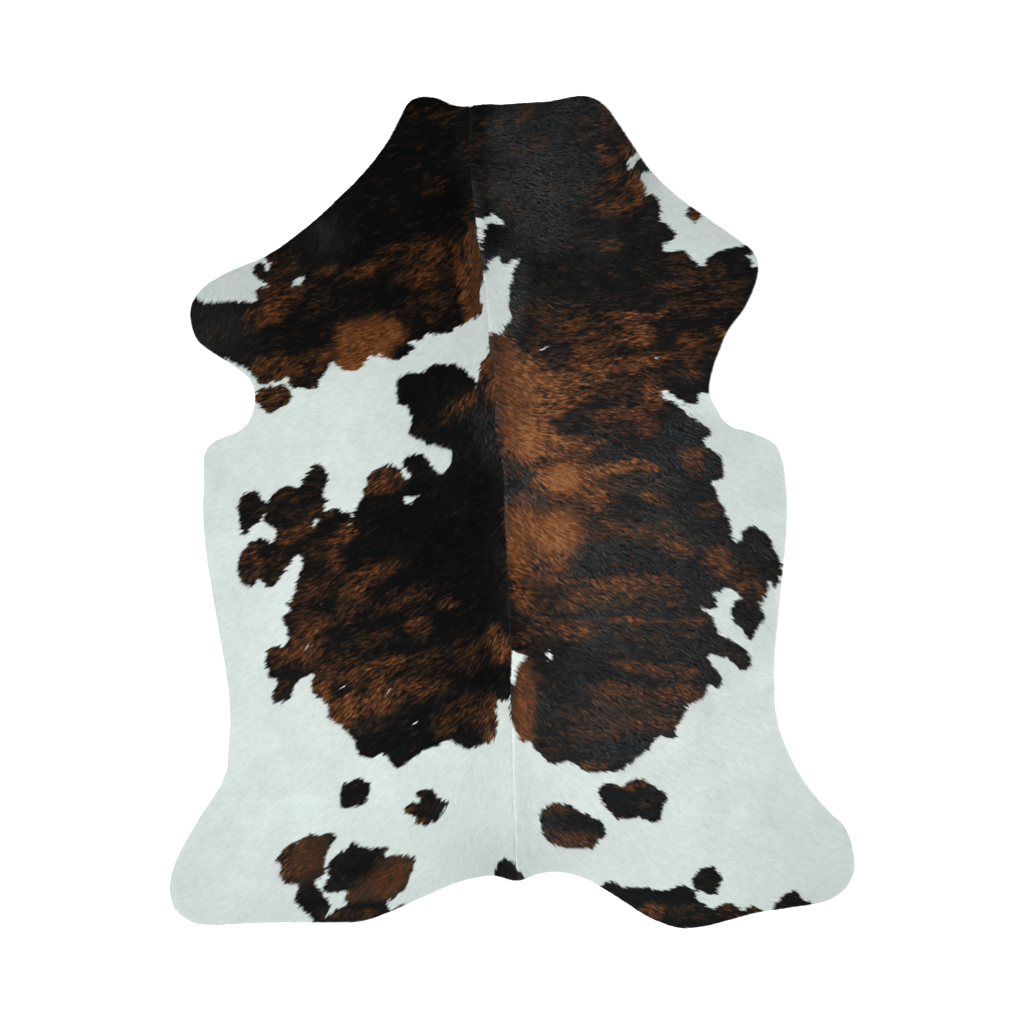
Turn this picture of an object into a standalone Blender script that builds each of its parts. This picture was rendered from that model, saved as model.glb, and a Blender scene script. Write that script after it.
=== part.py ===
"""A whole cowhide rug with its hair on, lying flat with the hair side up.

Metres, +Z up. The neck end is towards +Y, the tail end towards -Y, and the hide's own
right flank towards +X. The origin is the middle of the hide's box, on the floor.
"""

import math
from collections import namedtuple

import bmesh
import bpy
from mathutils import Vector, geometry

MM = 0.001

# Driving dimensions
LENGTH = 2202 * MM  # neck rim to the lowest hind lobe
WIDTH = 1816 * MM  # hind lobe to hind lobe
LEATHER = 2.2 * MM  # the tanned skin itself
LYING_HAIR = 3.4 * MM  # short hair, combed flat by its own growth

# The hair side, as short cattle hair looks from a step away
COAT_COLOUR = (0.62, 0.69, 0.68, 1.0)
COAT_ROUGHNESS = 0.6

# How finely the solid is cut into faces
RIM_STEP = 16 * MM
FOLD_STEP = 42 * MM
OPEN_STEP = 92 * MM
OPEN_TO_FOLD = 0.36 * OPEN_STEP  # least gap between the open ground's points and a fold's
OPEN_TO_RIM = 0.30 * OPEN_STEP  # least gap between the open ground's points and the rim
FOLD_TO_FOLD = 0.45  # of a fold's half width, the least gap between its points
SAME_POINT = 0.1 * MM
FOLD_ROWS = (-1.0, -0.5, 0.0, 0.5, 1.0)  # of the half width: feet, slopes and crest

# Trimmed hides dry with a rim that lifts a little here and there
RIM_LIFT = 4.0 * MM
RIM_LIFT_WIDTH = 55 * MM
Wave = namedtuple("Wave", "per_round start")
RIM_WAVES = (Wave(5, 0.4), Wave(9, 2.1), Wave(14, 4.4))

# The trimmed rim, clockwise from the neck's left corner as seen from above.
# Each row is (across, along): millimetres to the right of the middle and towards the neck.
RIM = {
    "neck, left corner": ((-274, 1077), (-247, 1095), (-192, 1093), (-155, 1076)),
    "notch at the backbone": ((-115, 1070), (-97, 1075)),
    "neck, right corner": ((-15, 1077), (94, 1084), (181, 1099), (221, 1091), (250, 1072)),
    "right neck side": ((284, 1027), (337, 948), (369, 903), (451, 824), (504, 787)),
    "right foreleg": ((612, 710), (639, 689), (654, 660), (654, 631), (623, 546), (570, 472)),
    "right elbow": ((554, 432), (535, 379), (525, 316), (538, 282), (570, 231)),
    "right belly": (
        (625, 213), (681, 189), (707, 165), (728, 52), (728, -49), (707, -276),
        (698, -366), (697, -488), (707, -567),
    ),
    "right hind leg": (
        (765, -699), (847, -800), (882, -834), (908, -919), (907, -953), (887, -993),
        (847, -1024), (792, -1038),
    ),
    "right thigh": ((657, -1059), (591, -1075), (509, -1096), (456, -1101), (416, -1093)),
    "right of the tail": ((361, -1070), (226, -986), (186, -966), (139, -955), (91, -956)),
    "tail root": ((52, -966), (17, -978), (-41, -964), (-86, -968)),
    "left of the tail": ((-149, -984), (-279, -1040), (-393, -1083)),
    "left thigh": ((-438, -1086), (-694, -1088), (-789, -1093)),
    "left hind leg": (
        (-834, -1088), (-866, -1073), (-892, -1046), (-903, -1006), (-899, -961),
        (-874, -898), (-834, -826), (-757, -699),
    ),
    "left belly": (
        (-747, -615), (-745, -501), (-784, -255), (-805, -126), (-813, -41), (-813, 65),
        (-811, 149), (-798, 173), (-771, 192),
    ),
    "left elbow": ((-718, 213), (-697, 231), (-681, 271), (-678, 313), (-691, 348)),
    "left foreleg": (
        (-728, 379), (-821, 443), (-839, 472), (-847, 520), (-839, 559), (-818, 588),
        (-781, 617),
    ),
    "left neck side": (
        (-736, 639), (-644, 678), (-557, 739), (-432, 850), (-382, 903), (-332, 969),
        (-295, 1038),
    ),
}

# Soft ridges where the hide was folded for drying and shipping, all in millimetres.
# A path runs through its (across, along) points, and the ridge fades over its last stretch.
Fold = namedtuple("Fold", "name height half_width fade path")
FOLDS = (
    Fold(
        "backbone", 5.0, 34, 90,
        (
            (-110, 1180), (-110, 953), (-97, 845), (-83, 707), (-62, 453), (-44, 303),
            (-44, 210), (-20, 97), (-20, -15), (-9, -181), (-1, -371), (-1, -551),
            (4, -763), (12, -916), (16, -1080),
        ),
    ),
    Fold("left half folded in", 2.4, 24, 120, ((-880, 14), (-480, 30), (-130, 52))),
    Fold("right half folded in", 2.4, 24, 120, ((60, 58), (420, 50), (800, 40))),
    Fold("beside the neck", 2.0, 20, 80, ((41, 800), (43, 620), (40, 450))),
    Fold("left flank, upper", 2.0, 20, 60, ((-790, -312), (-690, -320), (-590, -318))),
    Fold("left flank, lower", 2.0, 20, 60, ((-710, -668), (-610, -664), (-520, -670))),
    Fold("left loin", 1.8, 18, 50, ((-131, -540), (-129, -630), (-133, -720))),
    Fold("left hock", 2.2, 20, 60, ((-510, -962), (-390, -968), (-260, -964))),
)


def closed_curve(landmarks, pieces=12):
    """A smooth closed curve through the landmarks: Catmull-Rom with centripetal spacing."""
    count = len(landmarks)
    curve = []
    for i in range(count):
        p = [landmarks[(i + k) % count] for k in (-1, 0, 1, 2)]
        t = [0.0]
        for a, b in zip(p, p[1:]):
            t.append(t[-1] + math.sqrt((b - a).length))
        for step in range(pieces):
            s = t[1] + (t[2] - t[1]) * step / pieces
            a = [p[k].lerp(p[k + 1], (s - t[k]) / (t[k + 1] - t[k])) for k in range(3)]
            b = [a[k].lerp(a[k + 1], (s - t[k]) / (t[k + 2] - t[k])) for k in range(2)]
            curve.append(b[0].lerp(b[1], (s - t[1]) / (t[2] - t[1])))
    return curve


def walk(path, step, closed=False):
    """Points at even distances along a path, with both its ends when it is open."""
    ends = path[1:] + path[:1] if closed else path[1:]
    lengths = [(b - a).length for a, b in zip(path, ends)]
    total = sum(lengths)
    count = max(2, round(total / step))
    marks = [total * k / count for k in range(count if closed else count + 1)]
    points, passed, i = [], 0.0, 0
    for mark in marks:
        while i < len(lengths) - 1 and passed + lengths[i] < mark:
            passed += lengths[i]
            i += 1
        points.append(path[i].lerp(ends[i], min(1.0, (mark - passed) / lengths[i])))
    return points


def fit_to_size(points):
    """Moves and scales points so that their box is the hide's width and length, centred."""
    low = Vector((min(p.x for p in points), min(p.y for p in points)))
    high = Vector((max(p.x for p in points), max(p.y for p in points)))
    middle = (low + high) / 2
    size = high - low
    return [
        Vector(((p.x - middle.x) * WIDTH / size.x, (p.y - middle.y) * LENGTH / size.y))
        for p in points
    ]


def rim_points():
    landmarks = [Vector(row) * MM for rows in RIM.values() for row in rows]
    return fit_to_size(walk(closed_curve(landmarks), RIM_STEP, closed=True))


def smooth_fade(t):
    t = min(1.0, max(0.0, t))
    return t * t * (3 - 2 * t)


def nearest_on_path(point, path):
    """How far a point is from a path, and how far along the path its foot lies."""
    best, best_along, passed = math.inf, 0.0, 0.0
    for a, b in zip(path, path[1:]):
        run = b - a
        t = min(1.0, max(0.0, (point - a).dot(run) / run.length_squared))
        gap = (point - a - run * t).length
        if gap < best:
            best, best_along = gap, passed + run.length * t
        passed += run.length
    return best, best_along


class Ridge:
    """One soft fold: its crest's path in metres, and the height it adds around it."""

    def __init__(self, fold):
        self.path = walk([Vector(p) * MM for p in fold.path], FOLD_STEP)
        self.length = sum((b - a).length for a, b in zip(self.path, self.path[1:]))
        self.height = fold.height * MM
        self.half_width = fold.half_width * MM
        self.fade = fold.fade * MM

    def lift(self, point):
        gap, along = nearest_on_path(point, self.path)
        if gap >= self.half_width:
            return 0.0
        across = (1 - (gap / self.half_width) ** 2) ** 2
        return self.height * across * smooth_fade(min(along, self.length - along) / self.fade)

    def guide_points(self):
        """Rows of points along the crest, both slopes and both feet."""
        rows = []
        for i, crest in enumerate(self.path):
            ahead = self.path[min(i + 1, len(self.path) - 1)] - self.path[max(i - 1, 0)]
            side = Vector((-ahead.y, ahead.x)).normalized() * self.half_width
            rows += [crest + side * share for share in FOLD_ROWS]
        return rows


def rim_lift(point, rim):
    """The rim's own low waves, which die out a hand's breadth inside it."""
    gap, along = nearest_on_path(point, rim)
    if gap >= RIM_LIFT_WIDTH:
        return 0.0
    around = sum((b - a).length for a, b in zip(rim, rim[1:]))
    turn = 2 * math.pi * along / around
    wave = sum(math.sin(w.per_round * turn + w.start) for w in RIM_WAVES) / len(RIM_WAVES)
    return RIM_LIFT * max(0.0, wave) * smooth_fade(1 - gap / RIM_LIFT_WIDTH)


def inside(point, rim):
    """Whether a ray from the point crosses the closed rim an odd number of times."""
    crossings = 0
    for a, b in zip(rim, rim[1:]):
        if (a.y > point.y) != (b.y > point.y):
            crossings += point.x < a.x + (b.x - a.x) * (point.y - a.y) / (b.y - a.y)
    return crossings % 2 == 1


def open_ground_points(rim, taken):
    """A hexagonal net over the hide, clear of the rim and of the folds' points."""
    row_step = OPEN_STEP * math.sqrt(0.75)
    points = []
    for row in range(-int(LENGTH / row_step), int(LENGTH / row_step)):
        for column in range(-int(WIDTH / OPEN_STEP), int(WIDTH / OPEN_STEP)):
            point = Vector(((column + row % 2 / 2) * OPEN_STEP, row * row_step))
            if not inside(point, rim):
                continue
            if nearest_on_path(point, rim)[0] < OPEN_TO_RIM:
                continue
            if min((point - t).length for t in taken) > OPEN_TO_FOLD:
                points.append(point)
    return points


def fold_points(ridges, rim):
    """The folds' guide points that lie inside the rim and clear of each other."""
    points = []
    for ridge in ridges:
        clear = ridge.half_width * FOLD_TO_FOLD
        for point in ridge.guide_points():
            if not inside(point, rim) or nearest_on_path(point, rim)[0] < clear:
                continue
            if all((point - p).length > clear for p in points):
                points.append(point)
    return points


def hide_skin():
    """The flesh side as one sheet of triangles: flat on the floor but for its folds."""
    rim = rim_points()
    closed_rim = rim + rim[:1]
    ridges = [Ridge(fold) for fold in FOLDS]
    on_folds = fold_points(ridges, closed_rim)
    points = rim + on_folds + open_ground_points(closed_rim, on_folds)
    flat, _, faces = geometry.delaunay_2d_cdt(points, [], [], 0, SAME_POINT, False)[:3]

    mesh = bmesh.new()
    verts = []
    for p in flat:
        height = sum(ridge.lift(p) for ridge in ridges) + rim_lift(p, closed_rim)
        verts.append(mesh.verts.new((p.x, p.y, height)))
    for face in faces:  # the triangles also bridge the rim's hollows, and those are left out
        middle = sum((flat[i] for i in face), Vector((0, 0))) / len(face)
        if inside(middle, closed_rim):
            mesh.faces.new([verts[i] for i in face])
    mesh.normal_update()
    upside_down = [face for face in mesh.faces if face.normal.z < 0]
    bmesh.ops.reverse_faces(mesh, faces=upside_down)
    return mesh


def coat_material():
    material = bpy.data.materials.new("hair_on_cowhide")
    material.use_nodes = True
    shader = material.node_tree.nodes["Principled BSDF"]
    shader.inputs["Base Color"].default_value = COAT_COLOUR
    shader.inputs["Roughness"].default_value = COAT_ROUGHNESS
    shader.inputs["Metallic"].default_value = 0.0
    return material


def build_hide():
    mesh = bpy.data.meshes.new("hide")
    skin = hide_skin()
    skin.to_mesh(mesh)
    skin.free()
    hide = bpy.data.objects.new("hide", mesh)
    bpy.context.scene.collection.objects.link(hide)
    mesh.materials.append(coat_material())

    thickness = hide.modifiers.new("leather and lying hair", "SOLIDIFY")
    thickness.thickness = LEATHER + LYING_HAIR
    thickness.offset = 1.0
    mesh.shade_smooth()
    mesh.set_sharp_from_angle(angle=math.radians(40))
    return hide


def main():
    for leftover in list(bpy.data.objects):
        bpy.data.objects.remove(leftover)
    build_hide()


main()
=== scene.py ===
"""Looks of a whole cowhide rug that lies flat with its hair side up.

The tanned skin is a thin sheet on the frame's own form. The coat is some eight hundred thousand
short hairs, each rooted in the skin, combed the way cattle hair grows and coloured by where it
lies: white, black or brindled brown. A real hide has far more and finer ones, so each stands for
a small lock.
"""

import math

import bmesh
import bpy
import numpy as np
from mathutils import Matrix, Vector, geometry
from mathutils.bvhtree import BVHTree


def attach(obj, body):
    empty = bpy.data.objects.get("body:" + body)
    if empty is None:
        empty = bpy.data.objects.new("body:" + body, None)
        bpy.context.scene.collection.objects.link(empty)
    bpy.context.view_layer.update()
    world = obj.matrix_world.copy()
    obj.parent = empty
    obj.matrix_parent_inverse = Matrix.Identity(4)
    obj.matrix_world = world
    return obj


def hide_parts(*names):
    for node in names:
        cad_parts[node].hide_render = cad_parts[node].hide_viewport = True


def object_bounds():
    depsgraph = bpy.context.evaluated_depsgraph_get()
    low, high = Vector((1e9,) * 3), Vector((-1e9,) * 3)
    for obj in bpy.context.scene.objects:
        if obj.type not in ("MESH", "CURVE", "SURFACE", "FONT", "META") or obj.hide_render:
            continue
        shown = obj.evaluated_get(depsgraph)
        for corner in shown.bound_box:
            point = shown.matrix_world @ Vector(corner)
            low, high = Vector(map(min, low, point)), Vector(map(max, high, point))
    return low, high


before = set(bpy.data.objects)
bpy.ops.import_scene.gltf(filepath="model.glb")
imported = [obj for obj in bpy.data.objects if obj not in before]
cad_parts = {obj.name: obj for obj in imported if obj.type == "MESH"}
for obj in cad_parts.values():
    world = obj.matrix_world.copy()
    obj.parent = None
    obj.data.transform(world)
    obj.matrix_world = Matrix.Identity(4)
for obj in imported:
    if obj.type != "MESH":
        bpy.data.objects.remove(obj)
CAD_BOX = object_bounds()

MM = 0.001

# Where the photo shows the rug: pixels of its 1024 x 1024 frame
PHOTO_SIDE = 1024
PHOTO_MIDDLE = 511.5  # of the rug's box, both across and down
PHOTO_LENGTH = 833.0  # of the rug's box, down
PIXEL = (CAD_BOX[1].y - CAD_BOX[0].y) / PHOTO_LENGTH

# The tanned skin
LEATHER = 2.2 * MM
SKIN_INSET = 3.5 * MM  # hair overhangs the cut edge
SKIN_STEP = 16 * MM

# The coat
ROOT_STEP = 2.0 * MM  # between neighbouring hairs
COAT_PIECES = 5  # meshes that share the coat, each of them spread over the whole rug
HAIR_LENGTH = (11 * MM, 17 * MM)
HAIR_WIDTH = (1.7 * MM, 2.4 * MM)  # at the root, where most of it is hidden
ROOT_HEIGHT = 0.2 * MM
ROOT_JITTER = 0.3 * ROOT_STEP
RIM_MARGIN = 0.5 * MM  # from the rim to the outermost roots
OVERHANG = (-0.6 * MM, 2.2 * MM)  # of the tips past the rim
STRAY = 0.07  # radians that a single hair strays from its neighbours' way
RISE_SPREAD = 0.15  # how much the rise of single hairs differs
WHITE_ROLL = 5.0  # degrees that a white hair may be turned about its own length
DARK_ROLL = 25.0  # and a dark one
SEEN_SHARE = 0.7  # of its length, where a hair's colour is seen best
BAKE_CELLS = 512  # cells across and down in the OFBake map, one for each hair

# The charts are maps of the rug from above, with one value for every cell
CELL = 1.5 * MM
CHART_MARGIN = 40 * MM
GROUND_CELLS = 7  # cells from one measured ground height to the next

random = np.random.default_rng(seed=7)


# ---------------------------------------------------------------- what the photo shows

# The line of the backbone, in the photo's pixels from the neck to the tail
BACKBONE = (
    (470, 90), (470, 151), (471, 172), (472, 192), (474, 210), (476, 232), (480, 256), (486, 300),
    (488, 340), (489, 351), (493, 367), (495, 397), (494, 411), (495, 432), (500, 452), (504, 475),
    (504, 517), (506, 549), (508, 580), (508, 610), (511, 652), (510, 690), (511, 720), (512, 770),
    (513, 800), (515, 845), (516, 900),
)

# Dark markings on the white coat, each a closed smooth line in the photo's pixels.
# Where one meets the rim its line runs past it.
DARK_MARKINGS = {
    "left neck and shoulder": (
        (470, 85), (418, 80), (392, 95), (380, 118), (366, 145), (345, 172), (312, 200), (286, 224),
        (262, 246), (264, 258), (269, 266), (265, 270), (264, 266), (260, 262), (255, 265),
        (252, 271), (256, 279), (262, 281), (268, 286), (260, 287), (254, 292), (255, 300),
        (240, 301), (225, 302), (205, 303), (197, 299), (180, 303), (176, 325), (195, 352),
        (222, 364), (226, 358), (233, 363), (243, 367), (250, 373), (256, 379), (262, 385),
        (270, 383), (280, 380), (287, 384), (291, 388), (300, 387), (304, 390), (313, 388),
        (320, 378), (327, 368), (331, 361), (339, 368), (350, 371), (359, 368), (366, 360),
        (371, 355), (382, 357), (396, 360), (404, 356), (412, 347), (408, 342), (412, 340),
        (420, 340), (427, 333), (436, 334), (446, 333), (456, 327), (470, 320), (479, 315),
        (482, 308), (479, 295), (481, 285), (488, 270), (487, 262), (484, 256), (484, 245),
        (484, 200), (478, 150), (476, 107),
    ),
    "right neck, shoulder and flank": (
        (466, 85), (540, 85), (600, 84), (632, 110), (648, 140), (664, 164), (652, 171), (641, 172),
        (642, 180), (646, 188), (647, 195), (652, 193), (659, 199), (662, 208), (661, 219),
        (668, 224), (676, 233), (672, 239), (664, 243), (663, 248), (673, 251), (686, 250),
        (691, 257), (703, 265), (709, 256), (724, 249), (744, 245), (760, 234), (775, 262),
        (770, 290), (755, 318), (738, 338), (730, 362), (722, 385), (709, 392), (699, 393),
        (699, 401), (690, 405), (684, 403), (676, 397), (664, 390), (662, 393), (667, 398),
        (676, 403), (684, 410), (691, 416), (700, 423), (711, 431.5), (704, 440), (706, 447), (716, 451),
        (724, 467), (721, 480), (713, 480), (718, 495), (725, 511), (732, 527), (733, 539),
        (741, 541), (743, 531), (748, 527), (762, 530), (772, 542), (778, 557), (782, 568),
        (776, 587), (771, 583), (768, 580), (767, 594), (761, 603), (742, 598), (736, 592),
        (729, 587), (722, 592), (712, 594), (717, 600), (714, 608), (700, 608), (712, 616),
        (717, 630), (729, 639), (743, 647), (752, 661), (743, 671), (735, 665), (729, 660),
        (713, 655), (708, 655), (713, 666), (721, 675), (722, 684), (717, 688), (710, 685),
        (702, 700), (690, 704), (682, 720), (676, 728), (675, 738), (657, 737), (650, 748),
        (638, 757), (625, 768), (600, 772), (587, 772), (577, 765), (568, 762), (552, 764),
        (544, 759), (536, 751), (530, 742), (524, 743), (517, 735), (514, 725), (509, 717),
        (508.5, 702), (508.5, 694), (514, 683), (516, 676), (519, 668), (522, 662), (528, 657),
        (525, 654), (520, 654), (514, 651), (508, 651), (504, 610), (504, 580), (502, 549),
        (500, 517), (500, 493), (500, 475), (496, 452), (491, 432), (490, 411), (491, 397),
        (489, 367), (486, 353), (488, 345), (490.5, 337), (495, 333), (502.6, 334), (504, 327),
        (509, 322), (510.6, 315), (509, 306), (510, 297), (511, 286), (513, 280), (513.5, 272),
        (516, 265), (519, 258.6), (511, 261.5), (505, 265), (498, 256), (489, 263), (484, 257),
        (480, 235), (474, 208), (470, 172), (466, 130),
    ),
    "left back and flank": (
        (493, 352), (486, 356), (481, 361), (479, 368), (478, 377), (473, 388), (474, 380),
        (468, 375), (463, 368), (455, 365), (440, 363), (430, 365), (422, 372), (408, 373),
        (399, 377), (395, 390), (398, 403), (407, 408), (411, 422), (407, 431), (421, 441),
        (428, 446), (434, 444), (441, 449), (450, 451), (450, 463), (445, 471), (434, 471),
        (424, 455), (413, 454), (402, 459), (405, 471), (409, 476), (404, 478), (401, 471),
        (396, 467), (386, 465), (369, 474), (365, 484), (362, 495), (355, 508), (347, 526),
        (349, 513), (340, 512), (338, 508), (322, 511), (326, 500), (321, 494), (327, 479),
        (323, 467), (317, 464), (306, 472), (297, 487), (286, 485), (272, 494), (265, 504),
        (260, 498), (255, 490), (246, 492), (239, 498), (238, 519), (242, 536), (250, 527),
        (259, 521), (265, 510), (263, 521), (275, 530), (271, 543), (261, 538), (247, 544),
        (239, 555), (237, 574), (247, 587), (260, 580), (265, 587), (273, 586), (283, 572),
        (297, 555), (301, 563), (297, 578), (291, 597), (285, 605), (290, 608), (280, 620),
        (287, 630), (283, 645), (268, 648), (265, 656), (268, 677), (276, 680), (270, 698),
        (275, 704), (288, 698), (297, 681), (312, 675), (311, 690), (316, 698), (325, 703),
        (327, 717), (341, 728), (350, 736), (357, 752), (367, 759), (385, 755), (390, 763),
        (398, 768), (410, 759), (421, 752), (434, 746), (448, 740), (463, 748), (480, 745),
        (493, 740), (496, 725), (497, 702), (503, 702), (511, 690), (512, 664),
        (514, 610), (512, 560), (510, 500), (504, 450), (500, 400), (498, 370),
    ),
    "left elbow spot": (
        (254, 397), (258, 388), (266, 385), (273, 381), (281, 381), (287, 386), (291, 395),
        (286, 403), (279, 407), (272, 413), (263, 411), (257, 404),
    ),
    "right foreleg spot": (
        (687, 207), (692, 203), (703, 211), (702, 216), (697, 222), (692, 220), (688, 216),
    ),
    "right flank spot": (
        (731, 611), (735, 602), (744, 598), (757, 602), (762, 609), (765, 619), (758, 627),
        (754, 637), (750, 640), (744, 632), (735, 623),
    ),
    "left thigh round spot": (
        (339, 795), (343, 785), (354, 779), (362, 779), (370, 786), (367, 795), (364, 802),
        (354, 807), (349, 808), (341, 807),
    ),
    "left thigh ragged spot": (
        (421, 790), (430, 788), (437, 797), (447, 802), (444, 810), (436, 820), (426, 825),
        (415, 824), (415, 817), (408, 815), (403, 810), (408, 804), (420, 801), (415, 794),
    ),
    "left leg brown": (
        (275, 860), (280, 852), (288, 845), (297, 843), (304, 836), (316, 834), (330, 833),
        (336, 839), (329, 847), (325, 858), (322, 874), (317, 880), (306, 884), (300, 888),
        (294, 884), (285, 884), (279, 872), (281, 866),
    ),
    "left leg black and brown": (
        (352, 843), (362, 847), (376, 848), (387, 847), (384, 858), (396, 855), (405, 855),
        (414, 859), (413, 866), (408, 880), (404, 890), (396, 895), (386, 902), (374, 905),
        (350, 903), (343, 900), (346, 893), (330, 893), (321, 889), (326, 880), (328, 862),
        (336, 855), (345, 850),
    ),
    "left leg dark": (
        (301, 886), (311, 882), (321, 893), (330, 906), (325, 918), (320, 927), (306, 913),
        (293, 900),
    ),
    "left leg lower edge": (
        (323, 923), (329, 914), (340, 907), (352, 902), (375, 903), (385, 904), (389, 909),
        (400, 905), (412, 903), (400, 922), (360, 935), (325, 932),
    ),
    "tail root spot": (
        (495, 867), (499, 861), (506, 858), (514, 864), (519, 871), (524, 876), (522, 888),
        (497, 884),
    ),
    "right thigh spot": (
        (539, 816), (545, 807), (555, 802), (568, 805), (580, 812), (592, 816), (601, 822),
        (605, 836), (599, 841), (595, 847), (566, 848), (552, 844), (546, 838), (541, 826),
    ),
    "right thigh upper spot": (
        (598, 791), (604, 784), (612, 783), (624, 785), (630, 780), (641, 778), (653, 785),
        (668, 797), (663, 806), (662, 815), (656, 822), (640, 819), (620, 819), (608, 811),
        (603, 803),
    ),
    "right leg spot": (
        (693, 879), (698, 871), (704, 868), (715, 868), (721, 876), (720, 886), (717, 894),
        (702, 891), (694, 888),
    ),
    "right lower edge": (
        (600, 886), (607, 882), (614, 882), (621, 887), (640, 887), (664, 890), (682, 885),
        (694, 891), (699, 900), (712, 908), (727, 902), (745, 910), (751, 906), (763, 911),
        (765, 930), (700, 945), (640, 935), (598, 900),
    ),
    "right hind leg edge": (
        (774, 907), (779, 899), (786, 893), (793, 890), (799, 893), (803, 899), (812, 904),
        (814, 918), (774, 920),
    ),
}

# White markings inside the dark ones
WHITE_MARKINGS = {
    "hook beside the backbone": (
        (477, 220), (481, 218), (488, 217), (494, 212.5), (497, 216), (504.6, 222), (502.6, 224),
        (496, 223), (490, 221.5), (486.5, 224), (485, 229), (483.8, 236), (483, 243),
        (482.4, 249), (480.8, 243), (479.8, 236), (478.6, 227),
    ),
    "left shoulder sliver": (
        (288, 284), (292, 281), (296, 278), (305, 277), (301, 281), (299, 285), (293, 284.5),
    ),
    "left elbow sliver": ((260, 386), (272, 382), (280, 380), (285, 376), (288, 381), (276, 385)),
    "left flank hole": (
        (403, 500), (406, 496), (411, 498), (417, 495), (412, 501), (410, 505), (406, 504),
    ),
    "left flank slit": ((311, 527), (313, 521), (315, 518), (316.5, 521), (315, 525)),
    "right neck wedge": (
        (627, 163), (631, 157.5), (636, 153), (641, 149), (640, 156), (636, 159.5), (635, 163),
        (633, 168), (629, 167),
    ),
    "right foreleg tip": (
        (746, 256), (753, 254), (760, 250), (768, 268), (757, 267), (750, 267), (753, 262),
        (751, 258),
    ),
    "right back fleck": ((547, 652), (551, 651), (552, 656), (549, 660), (547, 657)),
}

# Markings of even rust, tan or brown hair in the dark coat, with hardly a black hair in them
EVEN_MARKINGS = {
    "left shoulder patch": (
        (340, 325), (348, 318.5), (358, 315), (365.5, 313.5), (377, 317), (387, 320),
        (397, 321.5), (402, 328), (402.5, 336), (397, 340), (391, 342), (390.5, 349), (392, 358),
        (385, 362), (373, 362), (367, 368), (356, 375), (340, 375), (330, 366), (330, 352),
        (334.5, 344), (337.5, 336), (335.5, 331),
    ),
    "right loin patch": (
        (517, 671), (526, 661), (532, 660), (533, 671), (537, 683), (540, 697), (538, 711),
        (540, 723), (534, 729), (531, 745), (523, 748), (514, 735), (507, 711), (507, 697),
        (513, 684),
    ),
    "rust beside the backbone": (
        (467, 228), (473, 224), (479, 234), (483, 248), (486, 262), (486, 272), (481, 284),
        (478, 298), (481, 308), (474, 315), (468, 304), (470, 286), (471, 268), (469, 248),
    ),
    "tan beside the backbone": (
        (489, 352), (492, 338), (500, 333), (508, 337), (514, 350), (513, 366), (524, 372),
        (535, 390), (536, 405), (532, 418), (541, 432), (538, 446), (534, 457), (524, 461),
        (512, 454), (503, 440), (498, 420), (496, 395), (491, 372),
    ),
    "tan spot on the back": (
        (552, 470), (559, 463), (571, 465), (580, 477), (579, 490), (571, 496), (560, 492),
        (553, 482),
    ),
    "tan low on the back": (
        (507, 516), (520, 506), (538, 511), (553, 503), (573, 510), (581, 524), (577, 541),
        (563, 553), (547, 556), (533, 547), (524, 558), (515, 572), (509, 562), (507, 540),
    ),
    "left leg, outer patch": (
        (289, 850), (300, 838), (320, 830), (340, 834), (335, 850), (328, 870), (322, 886),
        (303, 890), (292, 880), (288, 866),
    ),
    "left leg, inner patch": (
        (344, 903), (347, 892), (356, 884), (360, 877), (370, 870), (384, 860), (392, 852),
        (414, 852), (418, 868), (408, 885), (395, 901), (380, 906), (350, 906),
    ),
}

# Small tufts of white hair in the dark coat: a place in pixels, half its length, its slope
WHITE_TUFTS = (
    (544, 348, 4.5, 30), (306, 647, 2.5, 60), (342, 687, 4, 30), (414, 723, 3.5, 25),
    (657, 357, 2, 20), (388, 691, 2.5, 60),
)
TUFT_WIDTH = 1.0  # pixels

# The way the hair lies. Each row is a stroke of the comb: a place in the photo's pixels, a
# heading in degrees, 0 towards the tail, 90 towards the right and -90 towards the left, and how
# steeply the hair rises from the skin, in degrees. The left and right strokes don't mix.
COMB_LEFT = (
    (458, 110, -80, 4), (420, 120, -82, 3), (445, 160, -80, 4), (400, 190, -78, 3),
    (460, 205, -60, 8), (476, 250, -8, 7), (474, 285, -8, 7), (445, 262, -55, 7),
    (440, 290, -60, 7), (380, 260, -74, 7), (325, 236, -28, 1), (260, 280, -70, 6),
    (222, 325, -20, 1), (300, 330, -74, 7), (370, 330, -74, 7), (430, 330, -60, 7),
    (482, 340, -25, 7), (474, 370, -35, 7), (488, 440, -8, 7), (486, 412, -10, 7),
    (470, 480, -45, 8), (420, 420, -50, 7), (340, 430, -65, 7), (260, 440, -65, 7),
    (495, 530, -45, 9), (430, 540, -52, 9), (340, 540, -62, 7), (250, 540, -60, 7),
    (495, 600, -40, 9), (498, 660, -40, 12), (430, 650, -55, 7), (340, 660, -62, 7),
    (260, 660, -58, 7), (495, 780, -12, 7), (420, 780, -55, 7), (340, 780, -58, 7),
    (250, 800, -60, 7), (494, 864, -10, 15), (400, 870, -48, 7), (300, 880, -55, 7),
    (200, 880, -62, 7),
)
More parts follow.
